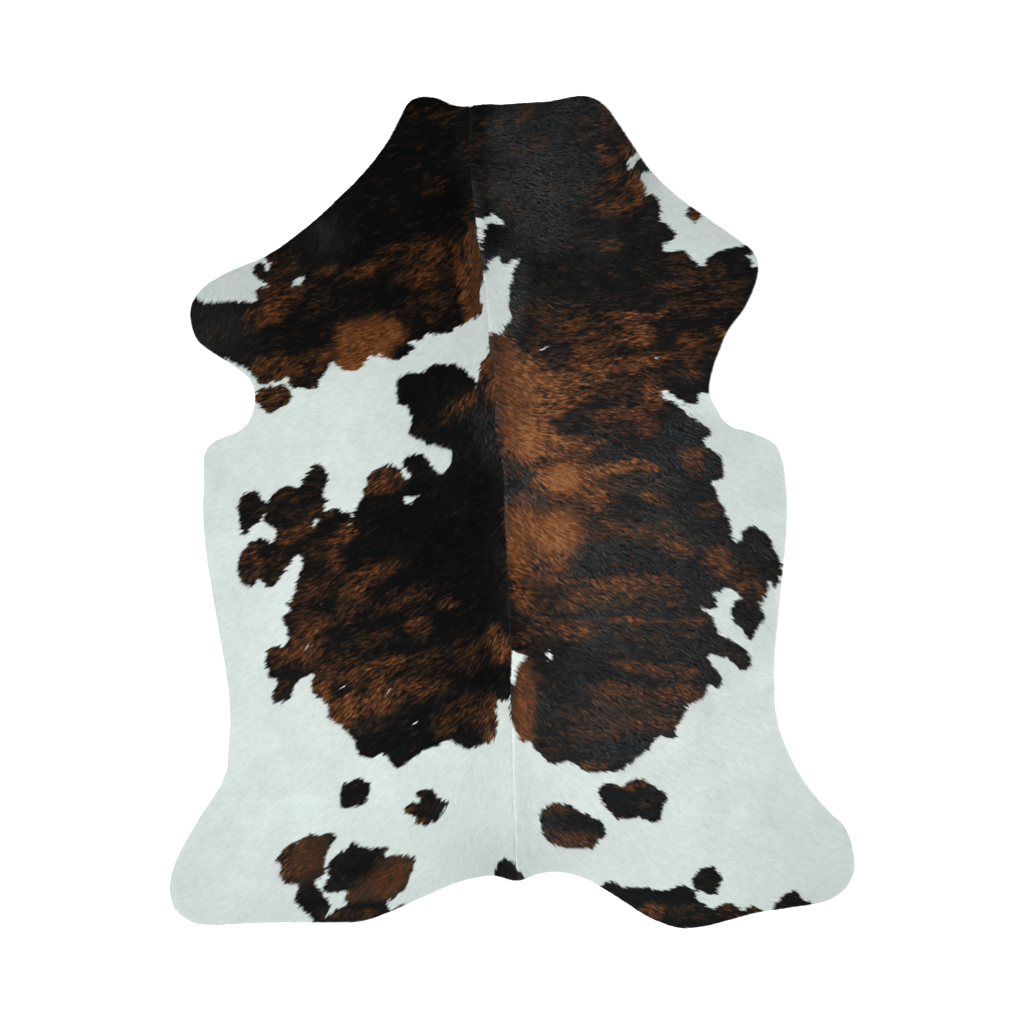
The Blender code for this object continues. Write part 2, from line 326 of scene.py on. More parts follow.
COMB_RIGHT = (
    (478, 115, 80, 3), (500, 130, 84, 14), (560, 130, 88, 13), (600, 118, 86, 12),
    (620, 140, 70, 8), (478, 165, 84, 3), (496, 185, 84, 12), (540, 185, 88, 13),
    (580, 190, 94, 11), (605, 205, 108, 8), (622, 196, 135, 7), (634, 180, 160, 7),
    (628, 155, 150, 7), (585, 150, 85, 11), (498, 235, 88, 1), (545, 232, 88, 10),
    (600, 235, 95, 9), (655, 215, 80, 6), (550, 265, 86, 2), (640, 255, 90, 4),
    (500, 262, 60, 5), (680, 270, 88, 4), (740, 280, 88, 5), (505, 300, 30, 6),
    (530, 310, 75, 2), (580, 330, 98, 3), (640, 340, 105, 3), (700, 340, 102, 3),
    (512, 400, 45, 6), (560, 400, 82, 6), (640, 400, 84, 5), (690, 385, 75, 4),
    (690, 425, 55, 10), (700, 450, 55, 7), (516, 470, 45, 5), (560, 480, 75, 7),
    (640, 480, 74, 10), (520, 540, 40, 4), (590, 540, 62, 9), (680, 530, 64, 11),
    (760, 500, 55, 8), (513, 585, 75, 0), (513, 640, 75, 0), (540, 612, 50, 3),
    (600, 620, 60, 11), (680, 620, 62, 11), (750, 620, 55, 8), (524, 720, 30, 4),
    (600, 740, 58, 11), (680, 720, 60, 11), (760, 760, 60, 8), (530, 790, 30, 7),
    (590, 800, 66, 6), (524, 862, 12, 16), (620, 860, 62, 7), (720, 860, 62, 7),
    (830, 860, 66, 8),
)
STROKE_REACH = 30 * MM  # within which a stroke outweighs those around it
WANDER = 0.10  # radians that the lay strays from the strokes, in blotches of these widths
WANDER_WIDTHS = (45 * MM, 14 * MM)

# How warm the dark hair is, place by place. Each row is a soft oval: its middle and half sizes
# in pixels, the slope of its long side in degrees (up to the right is positive), and its
# warmth, from black at 0 over brown and rust to tan at 1.
WARM_PLACES = (
    # right neck
    (540, 150, 60, 60, 0, 0.05), (525, 115, 7, 8, 0, 0.28), (492, 126, 9, 9, 0, 0.15),
    (537, 143, 7, 12, -50, 0.28), (514, 150, 7, 6, 0, 0.21), (486, 186, 6, 8, -50, 0.17),
    (512, 206, 8, 7, -40, 0.21), (550, 186, 14, 6, -20, 0.18), (604, 115, 14, 18, -30, 0.28),
    (588, 128, 9, 9, 0, 0.23), (601, 153, 4, 8, 0, 0.48), (629, 150, 9, 6, -25, 0.52),
    (612, 168, 7, 14, 0, 0.39), (636, 184, 8, 15, 0, 0.58), (593, 190, 18, 14, 20, 0.25),
    (618, 205, 18, 8, 15, 0.44), (643, 165, 7, 6, -40, 0.04), (590, 165, 8, 14, 0, 0.03),
    (479, 148, 3, 22, 0, 0.16), (653, 208, 9, 12, 0, 0.10), (640, 238, 40, 14, 10, 0.04),
    (609, 245, 12, 7, 10, 0.34), (580, 235, 30, 20, 10, 0.10), (570, 262, 55, 14, 5, 0.05),
    (686, 262, 16, 10, -10, 0.28), (712, 270, 12, 6, 10, 0.23), (742, 262, 14, 14, 0, 0.04),
    (500, 240, 14, 16, 0, 0.0),
    # left neck and shoulder
    (400, 170, 70, 60, 0, 0.05), (440, 116, 6, 12, 70, 0.25), (411, 114, 4, 6, 0, 0.25),
    (464, 156, 4, 10, 0, 0.15), (435, 181, 10, 10, 0, 0.2), (473, 140, 4, 14, 0, 0.08),
    (320, 240, 40, 14, 35, 0.03), (282, 268, 18, 12, 10, 0.25), (277, 294, 23, 9, 3, 0.38),
    (271, 312, 9, 8, 10, 0.50), (252, 321, 10, 9, 20, 0.38), (215, 318, 26, 22, 0, 0.03),
    (209, 334, 10, 7, 0, 0.16), (280, 340, 36, 12, 5, 0.06), (320, 300, 24, 10, 5, 0.16),
    (272, 367, 18, 10, 10, 0.43), (309, 363, 20, 9, 15, 0.38), (312, 383, 12, 6, 10, 0.1),
    (360, 300, 30, 14, 10, 0.04), (351, 345, 15, 19, 0, 0.68), (376, 334, 24, 16, -10, 0.66),
    (350, 364, 14, 6, 0, 0.66), (393, 333, 8, 10, 0, 0.68), (376, 352, 12, 8, 0, 0.68),
    (401, 351, 8, 8, 0, 0.0), (418, 334, 14, 7, 10, 0.03), (273, 396, 17, 16, 0, 0.38),
    (424, 252, 24, 12, 15, 0.39), (420, 275, 18, 10, 10, 0.38), (390, 252, 14, 6, 20, 0.25),
    (360, 271, 16, 5, 15, 0.38), (325, 270, 10, 4, 10, 0.27), (451, 258, 8, 12, 0, 0.27),
    (449, 286, 9, 16, 0, 0.14), (461, 285, 5, 30, 10, 0.67), (475, 272, 8, 46, 5, 0.56),
    (428, 306, 18, 12, 15, 0.26), (412, 318, 10, 12, 0, 0.14), (380, 225, 60, 16, 10, 0.04),
    # right shoulder and upper flank
    (560, 285, 44, 12, 5, 0.06), (640, 272, 36, 8, 5, 0.08), (678, 285, 22, 4, 8, 0.36),
    (640, 296, 50, 7, 5, 0.10), (540, 308, 34, 9, 8, 0.27), (725, 296, 20, 12, 20, 0.22),
    (692, 306, 26, 8, 8, 0.23), (632, 316, 30, 4, 3, 0.46), (590, 326, 26, 9, 15, 0.37),
    (560, 322, 22, 10, 15, 0.27), (637, 332, 15, 13, 0, 0.52), (666, 335, 8, 12, 0, 0.12),
    (692, 340, 12, 7, 0, 0.42), (724, 334, 4, 7, 50, 0.50), (712, 345, 7, 10, 0, 0.16),
    (527, 332, 8, 14, 0, 0.10), (551, 357, 13, 11, 0, 0.12), (600, 348, 34, 8, 15, 0.45),
    (620, 349, 14, 5, 0, 0.02), (680, 354, 18, 4, 0, 0.38), (620, 366, 44, 9, 8, 0.50),
    (670, 370, 12, 10, 0, 0.14), (690, 372, 10, 8, 0, 0.29), (706, 376, 8, 18, 0, 0.06),
    (684, 392, 16, 8, -20, 0.05), (620, 388, 24, 13, 10, 0.27), (655, 394, 12, 12, 0, 0.54),
    (585, 380, 22, 14, 30, 0.54), (622, 413, 22, 6, 5, 0.45), (575, 420, 15, 9, 20, 0.16),
    (615, 430, 20, 7, 5, 0.23), (645, 424, 10, 12, 0, 0.41), (684, 425, 26, 22, -35, 0.02),
    (630, 449, 34, 9, 5, 0.10), (694, 455, 11, 9, -10, 0.52), (696, 468, 7, 5, 0, 0.36),
    (714, 466, 9, 14, 0, 0.04),
    # right side of the back
    (512, 372, 12, 22, 0, 0.66), (503, 345, 8, 12, 0, 0.46), (500, 385, 6, 18, 0, 0.50),
    (532, 380, 16, 24, 0, 0.82), (556, 392, 18, 22, 0, 0.70), (511, 425, 12, 26, 0, 0.70),
    (532, 440, 14, 24, -10, 0.92), (556, 445, 14, 14, 0, 0.72), (585, 448, 16, 9, 5, 0.50),
    (516, 470, 14, 8, 0, 0.22), (546, 462, 10, 4, 10, 0.36), (560, 478, 20, 14, 0, 0.94),
    (610, 470, 24, 7, 5, 0.72), (642, 464, 14, 4, -20, 0.62), (540, 505, 14, 6, 0, 0.34),
    (596, 492, 16, 16, 0, 0.56), (556, 535, 22, 22, 0, 0.94), (524, 520, 14, 20, 0, 0.78),
    (517, 552, 9, 22, 12, 0.70), (545, 572, 20, 14, 0, 0.46), (520, 590, 8, 18, 20, 0.46),
    (536, 620, 14, 18, 20, 0.30), (508, 600, 5, 30, 0, 0.10),
    # right flank
    (640, 480, 30, 9, 0, 0.23), (655, 499, 11, 5, -20, 0.51), (652, 512, 30, 6, -10, 0.10),
    (711, 508, 12, 7, 0, 0.30), (700, 528, 20, 10, -10, 0.06), (620, 530, 30, 10, 0, 0.33),
    (668, 530, 12, 8, 0, 0.28), (614, 556, 26, 10, 0, 0.14), (675, 545, 16, 8, -25, 0.46),
    (718, 560, 14, 12, -40, 0.44), (690, 572, 12, 10, 0, 0.06), (620, 583, 48, 7, 3, 0.49),
    (590, 600, 30, 7, 10, 0.40), (660, 598, 30, 7, 0, 0.30), (710, 592, 16, 8, 0, 0.08),
    (650, 611, 40, 4, 0, 0.14), (636, 620, 20, 3.5, 0, 0.44), (690, 622, 16, 4, 0, 0.30),
    (574, 631, 16, 9, 0, 0.48), (640, 636, 40, 7, 0, 0.20), (640, 652, 60, 8, 0, 0.12),
    (566, 662, 24, 18, 0, 0.05), (645, 668, 26, 5, -10, 0.39), (678, 672, 14, 6, 0, 0.40),
    (616, 690, 22, 7, 0, 0.42), (680, 696, 20, 9, 0, 0.42), (640, 704, 50, 5, 0, 0.30),
    (600, 716, 40, 6, 0, 0.23), (650, 722, 28, 8, 0, 0.39), (560, 710, 16, 24, 0, 0.12),
    (590, 733, 30, 6, 0, 0.26), (630, 747, 24, 5, 3, 0.0), (580, 748, 26, 8, 0, 0.10),
    (556, 752, 8, 6, 0, 0.25), (590, 766, 12, 4, 0, 0.40), (524, 700, 10, 38, 0, 0.64),
    (521, 732, 8, 12, 0, 0.60), (725, 655, 24, 9, -30, 0.14), (716, 678, 7, 10, 0, 0.06),
    (752, 552, 22, 20, 0, 0.10), (752, 590, 15, 9, 0, 0.44), (738, 572, 12, 7, 0, 0.35),
    (748, 616, 16, 18, 0, 0.04),
    # left back
    (490, 375, 8, 26, 0, 0.44), (482, 365, 4, 12, 0, 0.56), (460, 404, 20, 6, 35, 0.48),
    (450, 420, 14, 5, 30, 0.24), (435, 385, 32, 20, 0, 0.02), (430, 425, 26, 16, 0, 0.05),
    (488, 440, 12, 26, 0, 0.03), (430, 530, 80, 36, 0, 0.01), (380, 480, 18, 9, 15, 0.44),
    (384, 487, 16, 5, 15, 0.52), (380, 505, 18, 8, 0, 0.04), (470, 600, 30, 40, 0, 0.02),
    # left flank
    (250, 510, 12, 20, 0, 0.14), (287, 491, 9, 8, 0, 0.22), (312, 486, 13, 20, 0, 0.10),
    (280, 514, 16, 12, 0, 0.12), (318, 514, 12, 6, 20, 0.29), (294, 532, 16, 7, 20, 0.40),
    (251, 560, 13, 18, 0, 0.34), (274, 562, 9, 20, 30, 0.13), (338, 540, 20, 8, 40, 0.43),
    (314, 555, 14, 10, 40, 0.17), (334, 562, 8, 8, 40, 0.29), (370, 574, 26, 7, 20, 0.36),
    (354, 588, 14, 8, 45, 0.43), (315, 590, 16, 9, 30, 0.29), (298, 604, 12, 10, 30, 0.24),
    (345, 610, 18, 6, 30, 0.29), (408, 600, 30, 9, 15, 0.24), (448, 603, 8, 5, 0, 0.31),
    (417, 630, 9, 10, 50, 0.38), (350, 628, 16, 7, 20, 0.12), (312, 627, 14, 8, 25, 0.41),
    (301, 652, 18, 13, 15, 0.43), (274, 660, 9, 10, 0, 0.29), (284, 676, 12, 4, 10, 0.06),
    (281, 690, 9, 9, 0, 0.26), (380, 636, 12, 4, 20, 0.24), (350, 648, 34, 6, 15, 0.18),
    (376, 668, 30, 8, 15, 0.41), (332, 672, 16, 8, 15, 0.40), (374, 698, 26, 13, 20, 0.52),
    (318, 690, 8, 10, 0, 0.55), (340, 710, 14, 12, 30, 0.57), (344, 727, 8, 5, 0, 0.50),
    (412, 690, 24, 8, 10, 0.38), (430, 660, 20, 12, 10, 0.21), (468, 652, 14, 14, 30, 0.26),
    (430, 640, 24, 8, 0, 0.05), (476, 712, 26, 14, 0, 0.34), (444, 728, 8, 7, 0, 0.34),
    (491, 722, 6, 20, 0, 0.50), (467, 732, 9, 7, 0, 0.05), (499, 645, 8, 16, 15, 0.62),
    (504, 682, 9, 14, 0, 0.02), (395, 740, 42, 16, 0, 0.03), (370, 728, 12, 4, 20, 0.21),
    # hind legs and thighs
    (304, 858, 26, 24, 30, 0.49), (283, 856, 9, 6, 30, 0.22), (352, 862, 24, 16, 0, 0.02),
    (334, 884, 12, 8, 0, 0.04), (388, 878, 28, 20, 30, 0.53), (350, 897, 8, 6, 0, 0.44),
    (311, 902, 16, 20, 0, 0.05), (368, 905, 22, 2.5, 0, 0.02), (355, 914, 24, 5, 0, 0.30),
    (382, 908, 8, 5, 0, 0.05), (355, 793, 16, 15, 0, 0.05), (426, 806, 20, 16, 0, 0.08),
    (408, 808, 4, 3, 0, 0.36), (417, 822, 4, 3, 30, 0.46), (552, 808, 12, 5, -10, 0.34),
    (578, 822, 26, 8, -10, 0.04), (590, 817, 9, 4, -20, 0.26), (572, 840, 26, 7, -5, 0.40),
    (632, 806, 34, 14, 0, 0.03), (642, 783, 9, 4, -30, 0.40), (626, 787, 8, 3, -10, 0.38),
    (639, 804, 9, 4, -20, 0.22), (640, 893, 44, 8, 0, 0.02), (653, 910, 9, 6, 0, 0.52),
    (690, 912, 16, 6, 0, 0.20), (733, 910, 12, 5, 0, 0.24), (755, 909, 7, 4, 0, 0.46),
    (708, 880, 13, 12, 0, 0.08), (790, 900, 14, 8, 0, 0.10), (694, 213, 8, 8, 0, 0.38),
    (508, 870, 12, 10, 0, 0.0),
)
WARM_BETWEEN = 0.04  # the warmth where no oval reaches
WARM_HOLD = 0.12  # how firmly that value holds against the ovals
OVAL_REACH = 2.2  # of its longer half size, past which an oval counts for nothing
OVAL_AREA = 300  # square pixels; a smaller oval outweighs the larger ones around it

# The brindle's long bands and short flecks, as fine as the hairs here can show them: their widths,
# how far they are drawn out either way, and how much they count
BAND_WIDTH = 2.8 * MM
BAND_REACH = 16 * MM
BAND_WEIGHT = 0.44
FLECK_WIDTH = 0.9 * MM
FLECK_REACH = 7 * MM
FLECK_WEIGHT = 0.78
OWN_WEIGHT = 0.65  # of a single hair's own chance to be warm or dark
BRINDLE_BLUR = 1.3  # how softly warm streaks pass into dark ones
DARK_BETWEEN = 0.09  # the least share of dark hair in the warmest brindle

# Right of the backbone the bands run almost across the rug. Between two rows of the photo's pixels
# their slope, in degrees up to the right, goes from one value to another. Above the second row
# they follow the hair again.
FLANK_ROWS = (560, 300)
FLANK_SLOPES = (-2, 12)
FLANK_WAVER = 9  # degrees that the slope wavers, in blotches of this width
FLANK_WAVER_WIDTH = 30 * MM
FLANK_BLUR = 15 * MM  # over which they turn to follow the hair

# Strands are hair that clings together. Their lighter and darker colours are partly their own and partly
# painted shade and light of the clumps
STRAND_WIDTH = 0.9 * MM
STRAND_REACH = 4.5 * MM
BRINDLE_STRAND_TONE_AND_SHADE = 0.30  # how much strands differ in warmth where the coat is brindled, partly their own colour and partly painted clump shade
EVEN_STRAND_TONE_AND_SHADE = 0.14  # and where it is even
OWN_WARMTH = 0.17  # how much single hairs differ in warmth
WHITE_STRAND_SHADE = 0.15  # how much strands differ in how pale their white is, which is painted shade and light of the clumps
OWN_WHITE = 0.10  # and how much single hairs do

# The edges of the markings, where tufts of hair reach over
EDGE_TUFTS = (  # how far tufts reach, their width, and the length that the lay draws them out to
    (1.5 * MM, 2.2 * MM, 8 * MM),
    (2.1 * MM, 1.0 * MM, 5 * MM),
)
EDGE_BLUR = 3 * MM  # over which a marking's line is rounded
EDGE_MIXING = 1.1 * MM  # over which hairs of both colours mix
PIGMENT_FADE = 0.8 * MM  # from a white hair to a dark one
EVEN_FADE = 3 * MM  # from brindle to even hair
EVEN_MOST = 0.85  # the rest stays brindled
SKIN_FADE = 8 * MM  # from pale skin under white hair to dark skin


# ---------------------------------------------------------------- charts of the rug from above

LEFT = CAD_BOX[0].x - CHART_MARGIN
BOTTOM = CAD_BOX[0].y - CHART_MARGIN
COLUMNS = int((CAD_BOX[1].x + CHART_MARGIN - LEFT) / CELL) + 2
ROWS = int((CAD_BOX[1].y + CHART_MARGIN - BOTTOM) / CELL) + 2


def from_photo(points):
    """Places on the rug, in metres, for points in the photo's pixels."""
    across, down = np.array(points, float).T
    return np.stack([across - PHOTO_MIDDLE, PHOTO_MIDDLE - down], axis=1) * PIXEL


def chart_places():
    """The place of every cell, as one chart of x and one of y."""
    return np.meshgrid(LEFT + CELL * np.arange(COLUMNS), BOTTOM + CELL * np.arange(ROWS))


def read(chart, x, y):
    """A chart's value at any place, blended between the four nearest cells."""
    column = np.clip((x - LEFT) / CELL, 0, COLUMNS - 1.001)
    row = np.clip((y - BOTTOM) / CELL, 0, ROWS - 1.001)
    c, r = column.astype(int), row.astype(int)
    right, up = column - c, row - r
    lower = chart[r, c] * (1 - right) + chart[r, c + 1] * right
    upper = chart[r + 1, c] * (1 - right) + chart[r + 1, c + 1] * right
    return lower * (1 - up) + upper * up


def soften(chart, width):
    """A chart with every value spread by a bell curve of this width, in metres."""
    along = np.fft.fftfreq(ROWS, CELL)[:, None]
    across = np.fft.rfftfreq(COLUMNS, CELL)[None, :]
    bell = np.exp(-2 * (math.pi * width) ** 2 * (along ** 2 + across ** 2))
    return np.fft.irfft2(np.fft.rfft2(chart) * bell, s=chart.shape)


def grain(width):
    """Soft random blotches about this wide, in metres, with values that spread about 1 from 0."""
    blotches = soften(random.standard_normal((ROWS, COLUMNS)), width)
    return (blotches - blotches.mean()) / blotches.std()


def cell_at(x, y):
    """The row and column of the cell nearest to each place."""
    row = np.clip(((y - BOTTOM) / CELL).round().astype(int), 0, ROWS - 1)
    column = np.clip(((x - LEFT) / CELL).round().astype(int), 0, COLUMNS - 1)
    return row, column


def comb_out(chart, lay, reach):
    """Draws a chart's values out along the lay of the hair, this far either way."""
    x, y = chart_places()
    drawn = chart.copy()
    for way in (1, -1):
        px, py = x.copy(), y.copy()
        for _ in range(int(reach / CELL)):
            here = cell_at(px, py)
            px += way * CELL * lay[0][here]
            py += way * CELL * lay[1][here]
            drawn += read(chart, px, py)
    return (drawn - drawn.mean()) / drawn.std()


def smooth_line(points, pieces=6):
    """A closed smooth line through the points, with even bends (centripetal Catmull-Rom)."""
    p = [np.roll(points, shift, axis=0) for shift in (1, 0, -1, -2)]
    t = [np.zeros((len(points), 1))]
    for a, b in zip(p, p[1:]):
        t.append(t[-1] + np.sqrt(np.linalg.norm(b - a, axis=1, keepdims=True)))
    line = []
    for step in range(pieces):
        s = t[1] + (t[2] - t[1]) * step / pieces
        a = [p[k] + (p[k + 1] - p[k]) * (s - t[k]) / (t[k + 1] - t[k]) for k in range(3)]
        b = [a[k] + (a[k + 1] - a[k]) * (s - t[k]) / (t[k + 2] - t[k]) for k in range(2)]
        line.append(b[0] + (b[1] - b[0]) * (s - t[1]) / (t[2] - t[1]))
    return np.stack(line, axis=1).reshape(-1, 2)


def fill(line):
    """A chart with 1 inside a closed line and 0 outside it."""
    turns = np.zeros((ROWS, COLUMNS + 1), int)
    column = (line[:, 0] - LEFT) / CELL
    row = (line[:, 1] - BOTTOM) / CELL
    for c0, r0, c1, r1 in zip(column, row, np.roll(column, -1), np.roll(row, -1)):
        if r0 == r1:
            continue
        rows = np.arange(math.ceil(min(r0, r1)), math.ceil(max(r0, r1)))
        rows = rows[(rows >= 0) & (rows < ROWS)]
        crossed = np.ceil(c0 + (c1 - c0) * (rows - r0) / (r1 - r0)).astype(int)
        np.add.at(turns, (rows, np.clip(crossed, 0, COLUMNS)), 1)
    return (np.cumsum(turns, axis=1)[:, :-1] % 2).astype(float)


def depth_inside(filled, width=6 * MM):
    """How far inside its outline each place of a filled chart lies, true near the outline.

    Softened, a straight outline becomes a bell curve's running share, and this undoes it.
    """
    share = np.clip(soften(filled, width), 1e-4, 1 - 1e-4)
    log_odds_per_width = 1.596
    return width * np.log(share / (1 - share)) / log_odds_per_width


# ---------------------------------------------------------------- the frame's own form

def rim_of(node):
    """The upper rim of a lying sheet, as one closed line of points."""
    mesh = bmesh.new()
    mesh.from_mesh(node.data)
    bmesh.ops.remove_doubles(mesh, verts=mesh.verts, dist=0.02 * MM)
    mesh.normal_update()
    beside = {}
    # Along the upper rim, the flat top meets the steep cut edge
    for edge in mesh.edges:
        flattest = min(abs(face.normal.z) for face in edge.link_faces)
        upward = max(face.normal.z for face in edge.link_faces)
        if flattest < 0.5 < upward:
            for vert in edge.verts:
                beside.setdefault(vert, []).append(edge.other_vert(vert))
    start = next(iter(beside))
    line, previous, here = [start], None, start
    while True:
        ahead = [vert for vert in beside[here] if vert is not previous]
        previous, here = here, ahead[0]
        if here is start:
            break
        line.append(here)
    points = np.array([vert.co.xy for vert in line])
    mesh.free()
    return points


def ground_under(node):
    """A chart of the height of a node's underside, with its facets smoothed."""
    tree = BVHTree.FromObject(node, bpy.context.evaluated_depsgraph_get())
    height = np.zeros((ROWS, COLUMNS))
    seen = np.zeros((ROWS, COLUMNS))
    for r in range(0, ROWS, GROUND_CELLS):
        for c in range(0, COLUMNS, GROUND_CELLS):
            well_below = Vector((LEFT + c * CELL, BOTTOM + r * CELL, -1))
            hit = tree.ray_cast(well_below, Vector((0, 0, 1)))[0]
            if hit is not None:
                height[r, c] = hit.z
                seen[r, c] = 1.0
    spread = 1.2 * GROUND_CELLS * CELL  # just wide enough to close the gaps between the cells
    return np.maximum(soften(height, spread), 0) / np.maximum(soften(seen, spread), 1e-3)


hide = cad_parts["hide"]
rim = rim_of(hide)
rim_depth = depth_inside(fill(rim))
ground = ground_under(hide)


# ---------------------------------------------------------------- the lay of the hair

def right_of_backbone(x, y):
    """Whether each place lies on the right of the backbone."""
    line = from_photo(BACKBONE)[::-1]
    return x > np.interp(y, line[:, 1], line[:, 0])


def combed(strokes, x, y):
    """The hair's direction and rise at every place, blended from the strokes around it."""
    table = np.array(strokes, float)
    places = from_photo(table[:, :2])
    run_x, run_y, rise, total = (np.zeros_like(x) for _ in range(4))
    for (sx, sy), turn, steepness in zip(places, np.radians(table[:, 2]), table[:, 3]):
        weight = ((x - sx) ** 2 + (y - sy) ** 2 + STROKE_REACH ** 2) ** -1.5
        run_x += weight * math.sin(turn)
        run_y -= weight * math.cos(turn)
        rise += weight * steepness
        total += weight
    length = np.hypot(run_x, run_y)
    return run_x / length, run_y / length, rise / total


def lay_of_hair():
    """Charts of the way in which the hair lies, across and along the rug, and of its rise.

    The two sides are combed apart from each other, so they meet in a sharp parting at the backbone.
    """
    x, y = chart_places()
    left, right = combed(COMB_LEFT, x, y), combed(COMB_RIGHT, x, y)
    on_right = right_of_backbone(x, y)
    run_x, run_y, rise = (np.where(on_right, r, l) for r, l in zip(right, left))
    wander = WANDER * sum(grain(width) for width in WANDER_WIDTHS)
    sin, cos = np.sin(wander), np.cos(wander)
    return run_x * cos - run_y * sin, run_x * sin + run_y * cos, rise


lay = lay_of_hair()


# ---------------------------------------------------------------- the coat's colours

def marked(lines):
    """A chart with 1 inside every one of some closed lines in the photo's pixels."""
    chart = np.zeros((ROWS, COLUMNS))
    for line in lines:
        chart = np.maximum(chart, fill(smooth_line(from_photo(line))))
    return chart


def in_white_tuft(points):
    """Whether each place lies in one of the small tufts of white hair."""
    found = np.zeros(len(points), bool)
    for across, down, half_length, slope in WHITE_TUFTS:
        apart = (points - from_photo([(across, down)])) / PIXEL
        cos, sin = math.cos(math.radians(slope)), math.sin(math.radians(slope))
        u = (apart[:, 0] * cos + apart[:, 1] * sin) / half_length
        v = (apart[:, 1] * cos - apart[:, 0] * sin) / (0.5 * TUFT_WIDTH)
        found |= u ** 2 + v ** 2 < 1
    return found


def inside_ragged(filled):
    """How far inside a filled chart each place lies, with the ragged edge that hair gives."""
    depth = depth_inside(filled, EDGE_BLUR)
    for height, width, reach in EDGE_TUFTS:
        depth += height * comb_out(grain(width), lay, reach)
    return depth


def band_lay():
    """The way the brindle's bands run: with the hair on the left, almost across on the right."""
    x, y = chart_places()
    low, high = from_photo([(0, down) for down in FLANK_ROWS])[:, 1]
    slope = np.interp(y, (low, high), FLANK_SLOPES) + FLANK_WAVER * grain(FLANK_WAVER_WIDTH)
    slope = np.radians(slope)
    on_flank = soften((right_of_backbone(x, y) & (y < high)).astype(float), FLANK_BLUR)
    run_x = on_flank * np.cos(slope) + (1 - on_flank) * lay[0]
    run_y = on_flank * np.sin(slope) + (1 - on_flank) * lay[1]
    length = np.hypot(run_x, run_y) + 1e-6
    return run_x / length, run_y / length


def warmth():
    """How brown the dark hair is on the whole, from black at 0 over rust to tan at 1."""
    x, y = chart_places()
    total = np.full((ROWS, COLUMNS), WARM_HOLD * WARM_BETWEEN)
    weights = np.full((ROWS, COLUMNS), WARM_HOLD)
    for across, down, half_width, half_height, slope, warm in WARM_PLACES:
        place = from_photo([(across, down)])[0]
        reach = OVAL_REACH * max(half_width, half_height) * PIXEL
        first = np.maximum((place - reach - (LEFT, BOTTOM)) / CELL, 0).astype(int)
        last = np.maximum((place + reach - (LEFT, BOTTOM)) / CELL, 0).astype(int)
        near = np.s_[first[1] : last[1], first[0] : last[0]]
        cos, sin = math.cos(math.radians(slope)), math.sin(math.radians(slope))
        right, up = x[near] - place[0], y[near] - place[1]
        u = (right * cos + up * sin) / (half_width * PIXEL)
        v = (up * cos - right * sin) / (half_height * PIXEL)
        strength = (OVAL_AREA / (half_width * half_height)) ** 0.5
        weight = strength * np.exp(-1.1 * (u ** 2 + v ** 2) ** 1.2)
        total[near] += weight * warm
        weights[near] += weight
    return total / weights


def streaks():
    """The fine streaks in which warm and black hair lie side by side."""
    bands = comb_out(grain(BAND_WIDTH), band_lay(), BAND_REACH)
    flecks = comb_out(grain(FLECK_WIDTH), lay, FLECK_REACH)
    return BAND_WEIGHT * bands + FLECK_WEIGHT * flecks


def brindled(mean, streak):
    """How brown single hairs are: in brindle a place's warmth sets how many of them are warm."""
    warm_hair = 0.20 + 0.75 * mean  # the warmth of each warm hair there
    share = np.clip(mean ** 1.25 / warm_hair, 0.001, 1 - DARK_BETWEEN)
    turn = 4.91 * (share ** 0.14 - (1 - share) ** 0.14)  # the bell curve's value at this share
    shown = np.clip((streak + turn) / BRINDLE_BLUR + 0.5, 0, 1)
    return warm_hair * shown * shown * (3 - 2 * shown)


dark_chart = inside_ragged(marked(DARK_MARKINGS.values()) * (1 - marked(WHITE_MARKINGS.values())))
even_chart = inside_ragged(marked(EVEN_MARKINGS.values()))
warm_chart = warmth()
streak_chart = streaks()
strand_chart = comb_out(grain(STRAND_WIDTH), lay, STRAND_REACH)


# ---------------------------------------------------------------- materials

HIDE_BLOTCH = 30 * MM  # wide
SUEDE_NAP = 1.2 * MM  # the real nap is finer, and this is as fine as shows from above


def paint(hex_colour):
    """A linear colour with alpha for an sRGB hex colour such as #D2DDDC."""
    values = [int(hex_colour[i : i + 2], 16) / 255 for i in (1, 3, 5)]
    linear = [v / 12.92 if v <= 0.04045 else ((v + 0.055) / 1.055) ** 2.4 for v in values]
    return (*linear, 1.0)


def add_node(tree, kind, settings=None, inputs=None):
    """Adds one node. An input takes a value, or the socket of another node to link from."""
    node = tree.nodes.new(kind)
    for name, value in (settings or {}).items():
        setattr(node, name, value)
    for name, value in (inputs or {}).items():
        if isinstance(value, bpy.types.NodeSocket):
            tree.links.new(value, node.inputs[name])
        else:
            node.inputs[name].default_value = value
    return node


def new_material(name):
    """A material whose tree holds one Principled shader, and both."""
    material = bpy.data.materials.new(name)
    material.use_nodes = True
    return material, material.node_tree, material.node_tree.nodes["Principled BSDF"]


